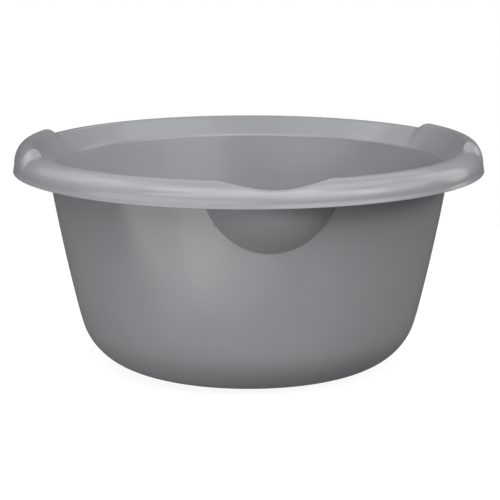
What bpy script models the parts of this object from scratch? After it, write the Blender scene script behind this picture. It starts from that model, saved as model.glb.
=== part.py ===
"""Round washing-up basin: one thin-walled plastic moulding with a turned-down rim, two grips and a spout.

Metres, +Z up. The origin is the centre of the foot ring, on the surface that the basin stands on.
The spout points along -Y, and the raised grips lie to -X and +X, a little behind the middle.
"""

import bpy
import bmesh
from math import asin, atan, atan2, cos, hypot, pi, radians, sin, sqrt, tan

# Moulding
WALL_THICKNESS = 0.002

# Rim: its crest, the flange that climbs to it from the wall, and the skirt that hangs down outside
RIM_RADIUS = 0.1845
RIM_HEIGHT = 0.1733
RIM_WIDTH = 0.0152
RIM_DEPTH = 0.018
SKIRT_DEPTH = 0.0032
SKIRT_FLARE = 0.0009
FLANGE_WIDTH = 0.0118
FLANGE_DEPTH = 0.0149
CREST_INNER_ROUND = 0.0015
CREASE_INNER_ROUND = 0.003

# Wall and base, measured on their outer skin
WALL_FOOT_RADIUS = 0.1233
WALL_BOW = 0.0023
BASE_FILLET = 0.048
FOOT_WIDTH = 0.0166
FOOT_STEP = 0.0025
FOOT_RISE = 0.0015
GATE_RADIUS = 0.004
GATE_DROP_SHARE = 0.5

# Raised grips: angles from the spout, and how far the rim is lifted and pushed out there
GRIP_ANGLE = radians(95.9)
GRIP_HALF_ANGLE = radians(19.7)
GRIP_STEP_ANGLE = radians(4.4)
GRIP_LIFT = 0.0047
GRIP_CREST_SHIFT = 0.0022
GRIP_SHOULDER_LIFT = 0.0025
STEP_FOOT_SHARE = 0.25
STEP_HEAD_SHARE = 0.4

# Spout: a channel that swells out of the wall along an arc, and cuts away the crest above it
SPOUT_HALF_WIDTH = 0.0492
SPOUT_DEPTH = 0.0412
SPOUT_ROUND_SHARE = 0.968
SPOUT_LEAN = radians(44)
LIP_HALF_WIDTH = 0.0425
LIP_ROUND_SHARE = 0.8
LIP_CUT_ANGLE = radians(60)
LIP_LEAN = radians(6)
BOW_FOOT_SHARE = 0.45
BOW_HEAD_SHARE = 0.3

# Worked out from the sizes above
CREST_RADIUS = RIM_RADIUS - RIM_WIDTH
CREST_ROUND = CREST_INNER_ROUND + WALL_THICKNESS
CREASE_ROUND = CREASE_INNER_ROUND + WALL_THICKNESS
CREASE_HEIGHT = RIM_HEIGHT - FLANGE_DEPTH
RIM_BOTTOM = RIM_HEIGHT - RIM_DEPTH
WALL_TOP_RADIUS = CREST_RADIUS - FLANGE_WIDTH

# Counts of the mesh
FILLET_POINTS = 6
WALL_POINTS = 4
CREASE_POINTS = 3
FLANGE_POINTS = 2
CREST_POINTS = 3
ROLL_POINTS = 5
LIP_COLUMNS = 6
SPOUT_COLUMNS = 3
STEP_COLUMNS = 5
GRIP_COLUMNS = 5
PLAIN_COLUMN_ANGLE = radians(7)
GATE_SIDES = 16

GREY = (0.262, 0.266, 0.277, 1.0)
ROUGHNESS = 0.34


def clear_scene():
    for obj in list(bpy.data.objects):
        bpy.data.objects.remove(obj, do_unlink=True)


def plastic():
    material = bpy.data.materials.new("grey_plastic")
    material.use_nodes = True
    shader = material.node_tree.nodes["Principled BSDF"]
    shader.inputs["Base Color"].default_value = GREY
    shader.inputs["Roughness"].default_value = ROUGHNESS
    shader.inputs["Metallic"].default_value = 0
    material.diffuse_color = GREY
    return material


def wall_radius(height):
    """Outer radius of the slightly bowed wall."""
    share = height / CREASE_HEIGHT
    straight = WALL_FOOT_RADIUS + (WALL_TOP_RADIUS - WALL_FOOT_RADIUS) * share
    return straight + 4 * WALL_BOW * share * (1 - share)


def wall_lean(height):
    """Angle of the wall from the vertical."""
    share = height / CREASE_HEIGHT
    return atan((WALL_TOP_RADIUS - WALL_FOOT_RADIUS + 4 * WALL_BOW * (1 - 2 * share)) / CREASE_HEIGHT)


def inner_radius(height):
    """Inner radius of the wall, one thickness inside the outer one."""
    lean = wall_lean(height)
    return wall_radius(height + WALL_THICKNESS * sin(lean)) - WALL_THICKNESS * cos(lean)


def grip_share(turn):
    """1 on a raised grip, 0 on the plain rim. The step has a tight foot and a rounder head."""
    off = abs(abs(turn) - GRIP_ANGLE)
    share = min(max((GRIP_HALF_ANGLE + GRIP_STEP_ANGLE / 2 - off) / GRIP_STEP_ANGLE, 0), 1)
    whole = 1 - (STEP_FOOT_SHARE + STEP_HEAD_SHARE) / 2
    if share < STEP_FOOT_SHARE:
        return share**2 / (2 * STEP_FOOT_SHARE) / whole
    if share < 1 - STEP_HEAD_SHARE:
        return (share - STEP_FOOT_SHARE / 2) / whole
    return 1 - (1 - share) ** 2 / (2 * STEP_HEAD_SHARE) / whole


def oval_share(across, round_share):
    """Part of an ellipse: 1 in the middle, 0 at across = 1, where it ends in a corner."""
    ends = sqrt(1 - round_share)
    return (sqrt(1 - round_share * min(across, 1) ** 2) - ends) / (1 - ends)


def spout_share(turn):
    """1 in the middle of the spout's arc on the wall, 0 at its ends."""
    return oval_share(abs(turn) * WALL_TOP_RADIUS / SPOUT_HALF_WIDTH, SPOUT_ROUND_SHARE)


def lip_share(turn):
    """1 in the middle of the spout's lip, 0 at its ends."""
    return oval_share(abs(turn) * CREST_RADIUS / LIP_HALF_WIDTH, LIP_ROUND_SHARE)


def mix(start, end, share):
    return start + (end - start) * share


def arc(centre, radius, start, end, count):
    """Points on an arc in the section plane, from the start angle to the end angle."""
    turns = [start + (end - start) * i / (count - 1) for i in range(count)]
    return [(centre[0] + radius * cos(a), centre[1] + radius * sin(a)) for a in turns]


def bow(start, end, start_lean, end_lean, count):
    """Points on a cubic curve, without its ends. The leans are its angles from the vertical there."""
    length = hypot(end[0] - start[0], end[1] - start[1])
    foot = BOW_FOOT_SHARE * length
    head = BOW_HEAD_SHARE * length
    corners = (
        start,
        (start[0] + foot * sin(start_lean), start[1] + foot * cos(start_lean)),
        (end[0] - head * sin(end_lean), end[1] - head * cos(end_lean)),
        end,
    )
    points = []
    for i in range(1, count + 1):
        share = i / (count + 1)
        rest = 1 - share
        weights = (rest**3, 3 * share * rest**2, 3 * share**2 * rest, share**3)
        points.append([sum(w * spot[k] for w, spot in zip(weights, corners)) for k in (0, 1)])
    return points


def base_points():
    """Inner skin from the floor's middle over the foot ring and round the fillet, tangent to the wall."""
    top = BASE_FILLET
    for _ in range(FILLET_POINTS):
        top = BASE_FILLET * (1 - sin(wall_lean(top)))
    lean = wall_lean(top)
    centre = (wall_radius(top) - BASE_FILLET * cos(lean), BASE_FILLET)
    ring = centre[0] - FOOT_WIDTH
    points = [(ring - FOOT_STEP, WALL_THICKNESS + FOOT_RISE)]
    points += [(ring, WALL_THICKNESS), (ring + FOOT_WIDTH / 2, WALL_THICKNESS)]
    return points + arc(centre, BASE_FILLET - WALL_THICKNESS, -pi / 2, -lean, FILLET_POINTS)


def rim_points(turn, corner):
    """Upper skin from the crease at corner, up the flange, over the crest and down the skirt."""
    grip = grip_share(turn)
    spout = spout_share(turn)
    top = RIM_HEIGHT + GRIP_LIFT * grip
    crest = CREST_RADIUS + GRIP_CREST_SHIFT * grip
    shoulder = RIM_BOTTOM + SKIRT_DEPTH + GRIP_SHOULDER_LIFT * grip
    width = RIM_RADIUS - SKIRT_FLARE - crest
    # The roll is a quarter of an ellipse. The spout's channel cuts it off further down
    cut = asin(sin(LIP_CUT_ANGLE) * lip_share(turn))
    facing = atan2(cos(cut) / (top - shoulder), sin(cut) / width)
    centre = (
        crest + width * sin(cut) - CREST_ROUND * cos(facing),
        shoulder + (top - shoulder) * cos(cut) - CREST_ROUND * sin(facing),
    )
    # The flange runs straight from the crease, tangent to the crest's round, but is bowed at the spout
    reach = hypot(centre[0] - corner[0], centre[1] - corner[1])
    straight = atan2(centre[0] - corner[0], centre[1] - corner[1]) - asin(CREST_ROUND / reach)
    foot_lean = mix(straight, SPOUT_LEAN, spout)
    head_lean = mix(straight, LIP_LEAN, spout)
    lean = wall_lean(corner[1])
    setback = CREASE_ROUND * tan((foot_lean - lean) / 2)
    start = (corner[0] - setback * sin(lean), corner[1] - setback * cos(lean))
    hub = (start[0] + CREASE_ROUND * cos(lean), start[1] - CREASE_ROUND * sin(lean))
    points = arc(hub, CREASE_ROUND, pi - lean, pi - foot_lean, CREASE_POINTS)
    over = arc(centre, CREST_ROUND, pi - head_lean, facing, CREST_POINTS)
    points += bow(points[-1], over[0], foot_lean, head_lean, FLANGE_POINTS) + over
    for i in range(1, ROLL_POINTS + 1):
        swing = mix(cut, pi / 2, i / ROLL_POINTS)
        points.append((crest + width * sin(swing), shoulder + (top - shoulder) * cos(swing)))
    points.append((RIM_RADIUS, RIM_BOTTOM))
    return points


def section(turn):
    """Inner and upper skin at one angle from the spout, as (radius, height), from the floor outwards."""
    low = CREASE_HEIGHT - SPOUT_DEPTH * spout_share(turn)
    rim = rim_points(turn, (inner_radius(low), low))
    points = base_points()
    bottom, top = points[-1][1], rim[0][1]
    for i in range(1, WALL_POINTS):
        height = bottom + (top - bottom) * i / WALL_POINTS
        points.append((inner_radius(height), height))
    return points + rim


def half_turns():
    """Angles of the mesh's columns on one side, closer together where the shape changes fast."""
    turns = [0]
    edges = (LIP_HALF_WIDTH / CREST_RADIUS, SPOUT_HALF_WIDTH / WALL_TOP_RADIUS)
    for edge, count in zip(edges, (LIP_COLUMNS, SPOUT_COLUMNS)):
        start = turns[-1]
        turns += [mix(start, edge, sin(pi / 2 * i / count)) for i in range(1, count + 1)]
    ends = []
    for side in (-1, 1):
        middle = GRIP_ANGLE + side * GRIP_HALF_ANGLE
        ends += [middle - GRIP_STEP_ANGLE / 2, middle + GRIP_STEP_ANGLE / 2]
    counts = [round((ends[0] - turns[-1]) / PLAIN_COLUMN_ANGLE), STEP_COLUMNS, GRIP_COLUMNS, STEP_COLUMNS]
    counts.append(round((pi - ends[-1]) / PLAIN_COLUMN_ANGLE))
    for end, count in zip(ends + [pi], counts):
        start = turns[-1]
        turns += [mix(start, end, i / count) for i in range(1, count + 1)]
    return turns


def shell_mesh(name):
    """The inner and upper skin as one open sheet, its faces looking up and inwards."""
    half = half_turns()
    turns = half + [-turn for turn in half[-2:0:-1]]
    sheet = bmesh.new()
    columns = []
    for turn in turns:
        spots = [(radius * sin(turn), -radius * cos(turn), height) for radius, height in section(turn)]
        columns.append([sheet.verts.new(spot) for spot in spots])
    middle = sheet.verts.new((0, 0, WALL_THICKNESS + FOOT_RISE))
    for left, right in zip(columns, columns[1:] + columns[:1]):
        sheet.faces.new((middle, left[0], right[0]))
        for i in range(len(left) - 1):
            sheet.faces.new((left[i], left[i + 1], right[i + 1], right[i]))
    mesh = bpy.data.meshes.new(name)
    sheet.to_mesh(mesh)
    sheet.free()
    mesh.shade_smooth()
    return mesh


def make_gate():
    """Round moulding mark under the middle of the raised floor, clear of the standing surface."""
    bottom = FOOT_RISE * (1 - GATE_DROP_SHARE)
    top = FOOT_RISE + WALL_THICKNESS / 2
    bpy.ops.mesh.primitive_cylinder_add(
        vertices=GATE_SIDES,
        radius=GATE_RADIUS,
        depth=top - bottom,
        location=(0, 0, (top + bottom) / 2),
    )
    gate = bpy.context.active_object
    gate.name = "gate_guide"
    gate.hide_render = True
    gate.display_type = "WIRE"
    return gate


def make_basin():
    basin = bpy.data.objects.new("basin", shell_mesh("basin"))
    bpy.context.scene.collection.objects.link(basin)
    basin.data.materials.append(plastic())
    thicken = basin.modifiers.new("wall", "SOLIDIFY")
    thicken.thickness = WALL_THICKNESS
    thicken.offset = -1
    thicken.use_even_offset = True
    thicken.use_quality_normals = True
    thicken.use_rim = True
    mark = basin.modifiers.new("gate", "BOOLEAN")
    mark.operation = "UNION"
    mark.object = make_gate()
    return basin


clear_scene()
make_basin()
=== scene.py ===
"""The looks of the round washing-up basin: a fine shell of satin grey plastic in a plain white studio."""

from math import asin, atan, atan2, cos, hypot, pi, radians, sin, sqrt, tan

import bmesh
import bpy
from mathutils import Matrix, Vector


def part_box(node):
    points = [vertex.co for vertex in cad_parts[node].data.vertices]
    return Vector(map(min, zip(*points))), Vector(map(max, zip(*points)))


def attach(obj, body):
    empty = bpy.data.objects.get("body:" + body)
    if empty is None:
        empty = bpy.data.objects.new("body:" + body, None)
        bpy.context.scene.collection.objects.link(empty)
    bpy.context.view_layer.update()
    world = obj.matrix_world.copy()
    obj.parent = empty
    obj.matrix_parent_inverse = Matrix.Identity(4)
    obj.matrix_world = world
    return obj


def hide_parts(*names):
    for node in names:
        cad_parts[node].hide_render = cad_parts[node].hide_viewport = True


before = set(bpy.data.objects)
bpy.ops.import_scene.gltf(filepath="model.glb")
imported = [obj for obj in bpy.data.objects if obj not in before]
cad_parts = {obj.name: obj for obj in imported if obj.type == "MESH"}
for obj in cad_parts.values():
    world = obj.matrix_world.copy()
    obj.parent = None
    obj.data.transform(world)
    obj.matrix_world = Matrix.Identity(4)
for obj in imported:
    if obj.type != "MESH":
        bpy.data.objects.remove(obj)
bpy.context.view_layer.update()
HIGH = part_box("basin")[1]

# Moulding, in metres
WALL_THICKNESS = 0.002
LOWER_EDGE_ROUND = 0.0005
LOWER_EDGE_SEGMENTS = 3
SHARP_ANGLE = radians(60)

# Raised grips: angles from the spout, and how far the rim is lifted and pushed out there
GRIP_ANGLE = radians(95.9)
GRIP_HALF_ANGLE = radians(19.7)
GRIP_STEP_ANGLE = radians(4.4)
GRIP_LIFT = 0.0047
GRIP_CREST_SHIFT = 0.0022
GRIP_SHOULDER_LIFT = 0.0025
STEP_FOOT_SHARE = 0.25
STEP_HEAD_SHARE = 0.4

# Rim, from the frame's box
RIM_RADIUS = HIGH.y
RIM_HEIGHT = HIGH.z - GRIP_LIFT
RIM_WIDTH = 0.0152
RIM_DEPTH = 0.018
SKIRT_DEPTH = 0.0032
SKIRT_FLARE = 0.0009
FLANGE_WIDTH = 0.0118
FLANGE_DEPTH = 0.0149
CREST_UNDER_ROUND = 0.0015
CREASE_UNDER_ROUND = 0.003
CREST_ROUND = CREST_UNDER_ROUND + WALL_THICKNESS
CREASE_ROUND = CREASE_UNDER_ROUND + WALL_THICKNESS
CREST_RADIUS = RIM_RADIUS - RIM_WIDTH
CREASE_HEIGHT = RIM_HEIGHT - FLANGE_DEPTH
RIM_BOTTOM = RIM_HEIGHT - RIM_DEPTH
WALL_TOP_RADIUS = CREST_RADIUS - FLANGE_WIDTH

# Wall and base, measured on their outer skin
WALL_FOOT_RADIUS = 0.1233
WALL_BOW = 0.0023
BASE_FILLET = 0.048
FOOT_WIDTH = 0.0166
FOOT_STEP = 0.0025
FOOT_RISE = 0.0015

# Mark of the mould's gate under the middle of the floor, with a small hollow in it
GATE_RADIUS = 0.004
GATE_DROP_SHARE = 0.5
GATE_EDGE = 0.00025
HOLLOW_RADIUS = 0.0011
HOLLOW_DEPTH = 0.0003
GATE_SIDES = 48

# Spout
SPOUT_HALF_WIDTH = 0.0492
SPOUT_DEPTH = 0.0412
SPOUT_ROUND_SHARE = 0.968
SPOUT_LEAN = radians(44)
LIP_HALF_WIDTH = 0.0425
LIP_ROUND_SHARE = 0.8
LIP_CUT_ANGLE = radians(60)
LIP_LEAN = radians(6)
BOW_FOOT_SHARE = 0.45
BOW_HEAD_SHARE = 0.3

# Counts of the mesh, and of the rounds that find where the fillet meets the wall
FLOOR_POINTS = 8
STEP_POINTS = 6
FILLET_POINTS = 18
TANGENT_ROUNDS = 18
WALL_POINTS = 16
CREASE_POINTS = 7
FLANGE_POINTS = 10
CREST_POINTS = 7
ROLL_POINTS = 22
SKIRT_POINTS = 2
LIP_COLUMNS = 36
SPOUT_COLUMNS = 14
STEP_COLUMNS = 28
PLAIN_COLUMN_ANGLE = radians(1.25)

# Plastic: lump sizes and depths in metres, and the noise levels at which a pattern starts and is full
PLASTIC_IOR = 1.49
DARK_GREY = (0.256, 0.26, 0.271, 1)
PALE_GREY = (0.268, 0.272, 0.283, 1)
SPECK_GREY = (0.3, 0.304, 0.315, 1)
SCUFF_GREY = (0.36, 0.364, 0.372, 1)
SPECK_SHARE = 0.35
SMOOTHEST = 0.17
ROUGHEST = 0.22
CLOUD_SIZE = 0.09
SPECK_SIZE = 0.0011
SHEEN_SIZE = 0.022
WAVE_SIZE = 0.045
WAVE_DEPTH = 0.0003
GRAIN_SIZE = 0.0006
GRAIN_DEPTH = 0.000008
SCUFF_ROUGHNESS = 0.3
SCRATCH_SIZE = 0.0012
SCRATCH_DEPTH = 0.00005
SCRATCH_SQUEEZE = 0.12
SCRATCH_LEVELS = (0.5, 0.68)
SPECK_LEVELS = (0.6, 0.75)
SOFT_LEVELS = (0.3, 0.7)
FINE_DETAIL = 4
SOFT_DETAIL = 3
GRAIN_DETAIL = 2
PLAIN_DETAIL = 1

# Floor and backdrop
TABLE_RADIUS = 0.6
TABLE_SIDES = 96
FLOOR_GAP = 0.0002
FLOOR_GLOW = 0.82
FLOOR_BRIGHTNESS = 1.1
WHITE = (1, 1, 1, 1)
FLOOR_COLOUR = (0.9, 0.9, 0.9, 1)
MIRRORED_SHARE = 0.11

# Lamps: azimuth and elevation, half width and half height, in degrees, and brightness
LAMP_DISTANCE = 1.7
AIM_HEIGHT = 0.12
SOFTBOXES = {
    "under_front": (-10, -28, 32, 9, 1.15),
    "under_left": (-36, -24, 42, 10, 2.1),
    "low_left": (-36, 3, 45, 9, 2.1),
    "middle_right": (40, 22, 30, 14, 1.55),
    "side_right": (75, 25, 24, 14, 1.6),
    "behind_right": (116, 22, 14, 22, 1.6),
    "behind_left": (-116, 36, 20, 22, 1.0),
    "side_left": (-90, 40, 22, 16, 1.3),
    "high_front": (10, 38, 60, 13, 2.5),
    "top_front": (-10, 58, 52, 13, 2.8),
    "top_left": (-78, 60, 45, 13, 1.15),
    "top_right": (62, 60, 50, 13, 1.5),
    "top_back": (180, 50, 45, 14, 0.7),
}
# Lamps that only soften the far side and aren't mirrored in the gloss
FILLS = {
    "fill_back": (180, -18, 55, 20, 2.4),
    "fill_right": (125, -15, 25, 20, 0.7),
    "fill_under": (180, -62, 40, 18, 1.2),
}

# Camera
CAMERA_TURN = radians(6.2)
CAMERA_DISTANCE = 1.5
CAMERA_HEIGHT = 0.3987
CAMERA_PITCH = 0.204
SENSOR_WIDTH = 36
LENS = 138.57
SHIFT_X = 0.0026


def smooth_step(share):
    """0 to 1 with level ends."""
    return share * share * (3 - 2 * share)


def wall_radius(height):
    """Outer radius of the slightly bowed wall."""
    share = height / CREASE_HEIGHT
    straight = WALL_FOOT_RADIUS + (WALL_TOP_RADIUS - WALL_FOOT_RADIUS) * share
    return straight + 4 * WALL_BOW * share * (1 - share)


def wall_lean(height):
    """Angle of the wall from the vertical."""
    share = height / CREASE_HEIGHT
    return atan((WALL_TOP_RADIUS - WALL_FOOT_RADIUS + 4 * WALL_BOW * (1 - 2 * share)) / CREASE_HEIGHT)


def inner_radius(height):
    """Inner radius of the wall, one thickness inside the outer one."""
    lean = wall_lean(height)
    return wall_radius(height + WALL_THICKNESS * sin(lean)) - WALL_THICKNESS * cos(lean)


def grip_share(turn):
    """1 on a raised grip, 0 on the plain rim. The step has a tight foot and a rounder head."""
    off = abs(abs(turn) - GRIP_ANGLE)
    share = min(max((GRIP_HALF_ANGLE + GRIP_STEP_ANGLE / 2 - off) / GRIP_STEP_ANGLE, 0), 1)
    whole = 1 - (STEP_FOOT_SHARE + STEP_HEAD_SHARE) / 2
    if share < STEP_FOOT_SHARE:
        return share**2 / (2 * STEP_FOOT_SHARE) / whole
    if share < 1 - STEP_HEAD_SHARE:
        return (share - STEP_FOOT_SHARE / 2) / whole
    return 1 - (1 - share) ** 2 / (2 * STEP_HEAD_SHARE) / whole


def oval_share(across, round_share):
    """Part of an ellipse: 1 in the middle, 0 at across = 1, where it ends in a corner."""
    ends = sqrt(1 - round_share)
    return (sqrt(1 - round_share * min(across, 1) ** 2) - ends) / (1 - ends)


def spout_share(turn):
    """1 in the middle of the spout's arc on the wall, 0 at its ends."""
    return oval_share(abs(turn) * WALL_TOP_RADIUS / SPOUT_HALF_WIDTH, SPOUT_ROUND_SHARE)


def lip_share(turn):
    """1 in the middle of the spout's lip, 0 at its ends."""
    return oval_share(abs(turn) * CREST_RADIUS / LIP_HALF_WIDTH, LIP_ROUND_SHARE)


def mix(start, end, share):
    return start + (end - start) * share


def arc(centre, radius, start, end, count):
    """Points on an arc in the section plane, from the start angle to the end angle."""
    turns = [start + (end - start) * i / (count - 1) for i in range(count)]
    return [(centre[0] + radius * cos(a), centre[1] + radius * sin(a)) for a in turns]


def bow(start, end, start_lean, end_lean, count):
    """Points on a cubic curve, without its ends. The leans are its angles from the vertical there."""
    length = hypot(end[0] - start[0], end[1] - start[1])
    foot = BOW_FOOT_SHARE * length
    head = BOW_HEAD_SHARE * length
    corners = (
        start,
        (start[0] + foot * sin(start_lean), start[1] + foot * cos(start_lean)),
        (end[0] - head * sin(end_lean), end[1] - head * cos(end_lean)),
        end,
    )
    points = []
    for i in range(1, count + 1):
        share = i / (count + 1)
        rest = 1 - share
        weights = (rest**3, 3 * share * rest**2, 3 * share**2 * rest, share**3)
        points.append([sum(w * spot[k] for w, spot in zip(weights, corners)) for k in (0, 1)])
    return points


def between(start, end, count):
    """Points on the straight line from start to end, without its ends."""
    shares = [i / (count + 1) for i in range(1, count + 1)]
    return [tuple(a + (b - a) * share for a, b in zip(start, end)) for share in shares]


def base_points():
    """Inner skin from the floor's middle over the foot ring and round the fillet, tangent to the wall."""
    top = BASE_FILLET
    for _ in range(TANGENT_ROUNDS):
        top = BASE_FILLET * (1 - sin(wall_lean(top)))
    lean = wall_lean(top)
    centre = (wall_radius(top) - BASE_FILLET * cos(lean), BASE_FILLET)
    ring = centre[0] - FOOT_WIDTH
    raised = WALL_THICKNESS + FOOT_RISE
    points = [(ring * i / FLOOR_POINTS, raised) for i in range(1, FLOOR_POINTS)]
    for i in range(STEP_POINTS + 1):
        share = i / STEP_POINTS
        points.append((ring - FOOT_STEP * (1 - share), raised - FOOT_RISE * smooth_step(share)))
    points += between(points[-1], (centre[0], WALL_THICKNESS), FLOOR_POINTS // 2)
    return points + arc(centre, BASE_FILLET - WALL_THICKNESS, -pi / 2, -lean, FILLET_POINTS)


def rim_points(turn, corner):
    """Upper skin from the crease at corner, up the flange, over the crest and down the skirt."""
    grip = grip_share(turn)
    spout = spout_share(turn)
    top = RIM_HEIGHT + GRIP_LIFT * grip
    crest = CREST_RADIUS + GRIP_CREST_SHIFT * grip
    shoulder = RIM_BOTTOM + SKIRT_DEPTH + GRIP_SHOULDER_LIFT * grip
    width = RIM_RADIUS - SKIRT_FLARE - crest
    # The roll is a quarter of an ellipse. The spout's channel cuts it off further down
    cut = asin(sin(LIP_CUT_ANGLE) * lip_share(turn))
    facing = atan2(cos(cut) / (top - shoulder), sin(cut) / width)
    centre = (
        crest + width * sin(cut) - CREST_ROUND * cos(facing),
        shoulder + (top - shoulder) * cos(cut) - CREST_ROUND * sin(facing),
    )
    # The flange runs straight from the crease, tangent to the crest's round, but is bowed at the spout
    reach = hypot(centre[0] - corner[0], centre[1] - corner[1])
    straight = atan2(centre[0] - corner[0], centre[1] - corner[1]) - asin(CREST_ROUND / reach)
    foot_lean = mix(straight, SPOUT_LEAN, spout)
    head_lean = mix(straight, LIP_LEAN, spout)
    lean = wall_lean(corner[1])
    setback = CREASE_ROUND * tan((foot_lean - lean) / 2)
    start = (corner[0] - setback * sin(lean), corner[1] - setback * cos(lean))
    hub = (start[0] + CREASE_ROUND * cos(lean), start[1] - CREASE_ROUND * sin(lean))
    points = arc(hub, CREASE_ROUND, pi - lean, pi - foot_lean, CREASE_POINTS)
    over = arc(centre, CREST_ROUND, pi - head_lean, facing, CREST_POINTS)
    points += bow(points[-1], over[0], foot_lean, head_lean, FLANGE_POINTS) + over
    for i in range(1, ROLL_POINTS + 1):
        swing = mix(cut, pi / 2, i / ROLL_POINTS)
        points.append((crest + width * sin(swing), shoulder + (top - shoulder) * cos(swing)))
    points += between(points[-1], (RIM_RADIUS, RIM_BOTTOM), SKIRT_POINTS)
    points.append((RIM_RADIUS, RIM_BOTTOM))
    return points


def section(turn):
    """Inner and upper skin at one angle from the spout, as (radius, height), from the floor outwards."""
    low = CREASE_HEIGHT - SPOUT_DEPTH * spout_share(turn)
    rim = rim_points(turn, (inner_radius(low), low))
    points = base_points()
    bottom, top = points[-1][1], rim[0][1]
    for i in range(1, WALL_POINTS):
        height = bottom + (top - bottom) * i / WALL_POINTS
        points.append((inner_radius(height), height))
    return points + rim


def half_turns():
    """Angles of the mesh's columns on one side, closer together where the shape changes fast."""
    turns = [0]
    edges = (LIP_HALF_WIDTH / CREST_RADIUS, SPOUT_HALF_WIDTH / WALL_TOP_RADIUS)
    for edge, count in zip(edges, (LIP_COLUMNS, SPOUT_COLUMNS)):
        start = turns[-1]
        turns += [mix(start, edge, sin(pi / 2 * i / count)) for i in range(1, count + 1)]
    ends = []
    for side in (-1, 1):
        middle = GRIP_ANGLE + side * GRIP_HALF_ANGLE
        ends += [middle - GRIP_STEP_ANGLE / 2, middle + GRIP_STEP_ANGLE / 2]
    grip_columns = round((ends[2] - ends[1]) / PLAIN_COLUMN_ANGLE)
    counts = [round((ends[0] - turns[-1]) / PLAIN_COLUMN_ANGLE), STEP_COLUMNS, grip_columns, STEP_COLUMNS]
    counts.append(round((pi - ends[-1]) / PLAIN_COLUMN_ANGLE))
    for end, count in zip(ends + [pi], counts):
        start = turns[-1]
        turns += [mix(start, end, i / count) for i in range(1, count + 1)]
    return turns


def shell_mesh(name):
    """The inner and upper skin as one open sheet, its faces looking up and inwards."""
    half = half_turns()
    turns = half + [-turn for turn in half[-2:0:-1]]
    sheet = bmesh.new()
    columns = []
    for turn in turns:
        spots = [(radius * sin(turn), -radius * cos(turn), height) for radius, height in section(turn)]
        columns.append([sheet.verts.new(spot) for spot in spots])
    middle = sheet.verts.new((0, 0, WALL_THICKNESS + FOOT_RISE))
    for left, right in zip(columns, columns[1:] + columns[:1]):
        sheet.faces.new((middle, left[0], right[0]))
        for i in range(len(left) - 1):
            sheet.faces.new((left[i], left[i + 1], right[i + 1], right[i]))
    mesh = bpy.data.meshes.new(name)
    sheet.to_mesh(mesh)
    sheet.free()
    mesh.shade_smooth()
    return mesh


def link(tree, source, output, target, socket):
    tree.links.new(source.outputs[output], target.inputs[socket])


def place_node(tree, stretch):
    """Object coordinates in metres, stretched along each axis."""
    place = tree.nodes.new("ShaderNodeTexCoord")
    mapping = tree.nodes.new("ShaderNodeMapping")
    mapping.inputs["Scale"].default_value = stretch
    link(tree, place, "Object", mapping, "Vector")
    return mapping


def noise(tree, size, detail, stretch=(1, 1, 1)):
    """Noise texture whose lumps are about size metres wide."""
    node = tree.nodes.new("ShaderNodeTexNoise")
    node.inputs["Scale"].default_value = 1 / size
    node.inputs["Detail"].default_value = detail
    link(tree, place_node(tree, stretch), "Vector", node, "Vector")
    return node


def ranged(tree, source, output, start, end, low, high):
    """Map Range node: start to end becomes low to high, smoothly."""
    node = tree.nodes.new("ShaderNodeMapRange")
    node.interpolation_type = "SMOOTHSTEP"
    link(tree, source, output, node, "Value")
    for socket, value in (("From Min", start), ("From Max", end), ("To Min", low), ("To Max", high)):
        node.inputs[socket].default_value = value
    return node


def relief(tree, height, depth, below=None):
    """Bump node for a height of 0 to 1 that stands depth metres high, on top of the bump below."""
    node = tree.nodes.new("ShaderNodeBump")
    node.inputs["Strength"].default_value = 1
    node.inputs["Distance"].default_value = depth
    link(tree, height, 0, node, "Height")
    if below:
        link(tree, below, "Normal", node, "Normal")
    return node


def worked(tree, operation, first, second):
    """Math node on the first outputs of two nodes."""
    node = tree.nodes.new("ShaderNodeMath")
    node.operation = operation
    link(tree, first, 0, node, 0)
    link(tree, second, 0, node, 1)
    return node


def colour_sockets(sockets):
    """The colour sockets of a Mix node, which has others with the same names."""
    return [socket for socket in sockets if socket.type == "RGBA"]


def tinted(tree, share, first, second):
    """Mix node between two colours by the share. The first may be another such node."""
    node = tree.nodes.new("ShaderNodeMix")
    node.data_type = "RGBA"
    link(tree, share, 0, node, "Factor")
    for target, colour in zip(colour_sockets(node.inputs), (first, second)):
        if isinstance(colour, tuple):
            target.default_value = colour
        else:
            tree.links.new(colour_sockets(colour.outputs)[0], target)
    return node


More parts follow.
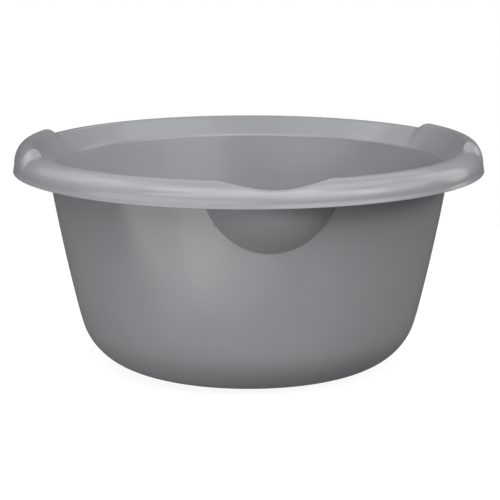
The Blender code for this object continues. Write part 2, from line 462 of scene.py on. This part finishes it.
def plastic():
    """Satin grey plastic: a faint grain and slow waves of the moulding, with some spread in its gloss and
    its grey. The face that it stands on is scuffed from sliding on worktops."""
    material = bpy.data.materials.new("satin_plastic")
    material.use_nodes = True
    tree = material.node_tree
    shader = tree.nodes["Principled BSDF"]
    shader.inputs["IOR"].default_value = PLASTIC_IOR

    position = tree.nodes.new("ShaderNodeTexCoord")
    axes = tree.nodes.new("ShaderNodeSeparateXYZ")
    link(tree, position, "Object", axes, "Vector")
    low_share = ranged(tree, axes, "Z", 0, WALL_THICKNESS, 1, 0)
    along = noise(tree, SCRATCH_SIZE, FINE_DETAIL, (1, SCRATCH_SQUEEZE, 1))
    scratches = ranged(tree, along, 0, *SCRATCH_LEVELS, 0, 1)
    across = noise(tree, SCRATCH_SIZE, FINE_DETAIL, (SCRATCH_SQUEEZE, 1, 1))
    crossing = ranged(tree, across, 0, *SCRATCH_LEVELS, 0, 1)
    scuffs = worked(tree, "MULTIPLY", low_share, worked(tree, "MAXIMUM", scratches, crossing))

    clouds = ranged(tree, noise(tree, CLOUD_SIZE, SOFT_DETAIL), 0, *SOFT_LEVELS, 0, 1)
    specks = ranged(tree, noise(tree, SPECK_SIZE, PLAIN_DETAIL), 0, *SPECK_LEVELS, 0, SPECK_SHARE)
    grey = tinted(tree, clouds, DARK_GREY, PALE_GREY)
    grey = tinted(tree, specks, grey, SPECK_GREY)
    grey = tinted(tree, scuffs, grey, SCUFF_GREY)
    tree.links.new(colour_sockets(grey.outputs)[0], shader.inputs["Base Color"])

    sheen = ranged(tree, noise(tree, SHEEN_SIZE, SOFT_DETAIL), 0, *SOFT_LEVELS, SMOOTHEST, ROUGHEST)
    dulled = ranged(tree, scuffs, 0, 0, 1, 0, SCUFF_ROUGHNESS)
    link(tree, worked(tree, "ADD", sheen, dulled), 0, shader, "Roughness")

    waves = relief(tree, noise(tree, WAVE_SIZE, PLAIN_DETAIL), WAVE_DEPTH)
    grain = relief(tree, noise(tree, GRAIN_SIZE, GRAIN_DETAIL), GRAIN_DEPTH, waves)
    worn = relief(tree, scuffs, SCRATCH_DEPTH, grain)
    link(tree, worn, "Normal", shader, "Normal")
    return material


def make_shell():
    """The basin: the sheet, thickened on its underside, with a rounded lower edge."""
    shell = bpy.data.objects.new("basin_shell", shell_mesh("basin_shell"))
    bpy.context.scene.collection.objects.link(shell)
    shell.data.materials.append(plastic())
    thicken = shell.modifiers.new("wall", "SOLIDIFY")
    thicken.thickness = WALL_THICKNESS
    thicken.offset = -1
    thicken.use_even_offset = True
    thicken.use_quality_normals = True
    thicken.use_rim = True
    soften = shell.modifiers.new("lower_edge", "BEVEL")
    soften.width = LOWER_EDGE_ROUND
    soften.segments = LOWER_EDGE_SEGMENTS
    soften.limit_method = "ANGLE"
    soften.angle_limit = SHARP_ANGLE
    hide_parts("basin")
    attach(shell, "root")
    return shell


def make_gate(material):
    """The round mark that the mould's gate leaves, turned from its profile."""
    bottom = FOOT_RISE * (1 - GATE_DROP_SHARE)
    top = FOOT_RISE + WALL_THICKNESS / 2
    profile = [
        (0, bottom + HOLLOW_DEPTH),
        (HOLLOW_RADIUS - GATE_EDGE, bottom + HOLLOW_DEPTH),
        (HOLLOW_RADIUS, bottom),
        (GATE_RADIUS - GATE_EDGE, bottom),
        (GATE_RADIUS, bottom + GATE_EDGE),
        (GATE_RADIUS, top),
        (0, top),
    ]
    mesh = bpy.data.meshes.new("gate_mark")
    mesh.from_pydata([(x, 0, z) for x, z in profile], [(i, i + 1) for i in range(len(profile) - 1)], [])
    gate = bpy.data.objects.new("gate_mark", mesh)
    bpy.context.scene.collection.objects.link(gate)
    turned = gate.modifiers.new("turned", "SCREW")
    turned.axis = "Z"
    turned.angle = 2 * pi
    turned.steps = turned.render_steps = GATE_SIDES
    turned.use_merge_vertices = True
    turned.merge_threshold = GATE_EDGE / GATE_SIDES
    turned.use_normal_flip = True
    turned.use_smooth_shade = False
    gate.data.materials.append(material)
    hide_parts("basin")
    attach(gate, "root")


def seen_share(tree):
    """1 for rays from the camera and through glass, MIRRORED_SHARE for reflected rays, 0 for the rest."""
    path = tree.nodes.new("ShaderNodeLightPath")
    mirrored = tree.nodes.new("ShaderNodeMath")
    mirrored.operation = "MULTIPLY"
    link(tree, path, "Is Glossy Ray", mirrored, 0)
    mirrored.inputs[1].default_value = MIRRORED_SHARE
    result = (path, "Is Camera Ray")
    for source, output in ((path, "Is Transmission Ray"), (mirrored, 0)):
        either = tree.nodes.new("ShaderNodeMath")
        either.operation = "MAXIMUM"
        link(tree, *result, either, 0)
        link(tree, source, output, either, 1)
        result = (either, 0)
    return result


def mixed(tree, share, first, second):
    """Mix Shader node. The share is a number, or a node and its output."""
    node = tree.nodes.new("ShaderNodeMixShader")
    if isinstance(share, tuple):
        link(tree, *share, node, 0)
    else:
        node.inputs[0].default_value = share
    link(tree, first, 0, node, 1)
    link(tree, second, 0, node, 2)
    return node


def make_floor():
    """Round white table top with a faint shadow on it. Only the camera sees it: reflections show the
    backdrop instead, and the lamps below it shine up through it, as through acrylic."""
    sheet = bmesh.new()
    bmesh.ops.create_circle(sheet, cap_ends=True, radius=TABLE_RADIUS, segments=TABLE_SIDES)
    mesh = bpy.data.meshes.new("floor")
    sheet.to_mesh(mesh)
    sheet.free()
    floor = bpy.data.objects.new("floor", mesh)
    bpy.context.scene.collection.objects.link(floor)
    floor.location.z = -FLOOR_GAP
    floor.visible_diffuse = False
    floor.visible_glossy = False
    floor.visible_transmission = False
    floor.visible_shadow = False
    material = bpy.data.materials.new("white_floor")
    material.use_nodes = True
    tree = material.node_tree
    shader = tree.nodes["Principled BSDF"]
    shader.inputs["Base Color"].default_value = FLOOR_COLOUR
    shader.inputs["Specular IOR Level"].default_value = 0
    glow = tree.nodes.new("ShaderNodeEmission")
    glow.inputs["Strength"].default_value = FLOOR_BRIGHTNESS
    link(tree, mixed(tree, FLOOR_GLOW, shader, glow), 0, tree.nodes["Material Output"], 0)
    floor.data.materials.append(material)


def make_world():
    """White backdrop all round where it is seen, and no light of its own."""
    world = bpy.data.worlds.new("studio")
    bpy.context.scene.world = world
    world.use_nodes = True
    tree = world.node_tree
    dark = tree.nodes["Background"]
    dark.inputs["Strength"].default_value = 0
    white = tree.nodes.new("ShaderNodeBackground")
    white.inputs["Color"].default_value = WHITE
    link(tree, mixed(tree, seen_share(tree), dark, white), 0, tree.nodes["World Output"], 0)


def make_softbox(name, azimuth, elevation, half_width, half_height, brightness, mirrored=True):
    """An oval lamp aimed at the basin. Its place and its half sizes are angles in degrees, seen
    from the basin. Azimuth 0 is the camera's side, and grows to the right."""
    tilt = radians(elevation)
    turn = radians(azimuth) - CAMERA_TURN
    light = bpy.data.lights.new(name, "AREA")
    light.shape = "ELLIPSE"
    light.size = 2 * LAMP_DISTANCE * tan(radians(half_width)) * cos(tilt)
    light.size_y = 2 * LAMP_DISTANCE * tan(radians(half_height))
    light.energy = pi * (pi / 4 * light.size * light.size_y) * brightness
    lamp = bpy.data.objects.new(name, light)
    bpy.context.scene.collection.objects.link(lamp)
    away = Vector((sin(turn) * cos(tilt), -cos(turn) * cos(tilt), sin(tilt)))
    lamp.location = Vector((0, 0, AIM_HEIGHT)) + away * LAMP_DISTANCE
    lamp.rotation_euler = away.to_track_quat("Z", "Y").to_euler()
    lamp.visible_camera = False
    lamp.visible_glossy = mirrored


def make_camera():
    camera = bpy.data.objects.new("camera", bpy.data.cameras.new("camera"))
    bpy.context.scene.collection.objects.link(camera)
    camera.location = (
        -CAMERA_DISTANCE * sin(CAMERA_TURN),
        -CAMERA_DISTANCE * cos(CAMERA_TURN),
        CAMERA_HEIGHT,
    )
    camera.rotation_euler = (pi / 2 - CAMERA_PITCH, 0, -CAMERA_TURN)
    camera.data.sensor_width = SENSOR_WIDTH
    camera.data.lens = LENS
    camera.data.shift_x = SHIFT_X
    bpy.context.scene.camera = camera


make_camera()
make_floor()
make_world()
for name, numbers in SOFTBOXES.items():
    make_softbox(name, *numbers)
for name, numbers in FILLS.items():
    make_softbox(name, *numbers, mirrored=False)
shell = make_shell()
make_gate(shell.data.materials[0])

bpy.context.scene.view_settings.view_transform = "Standard"
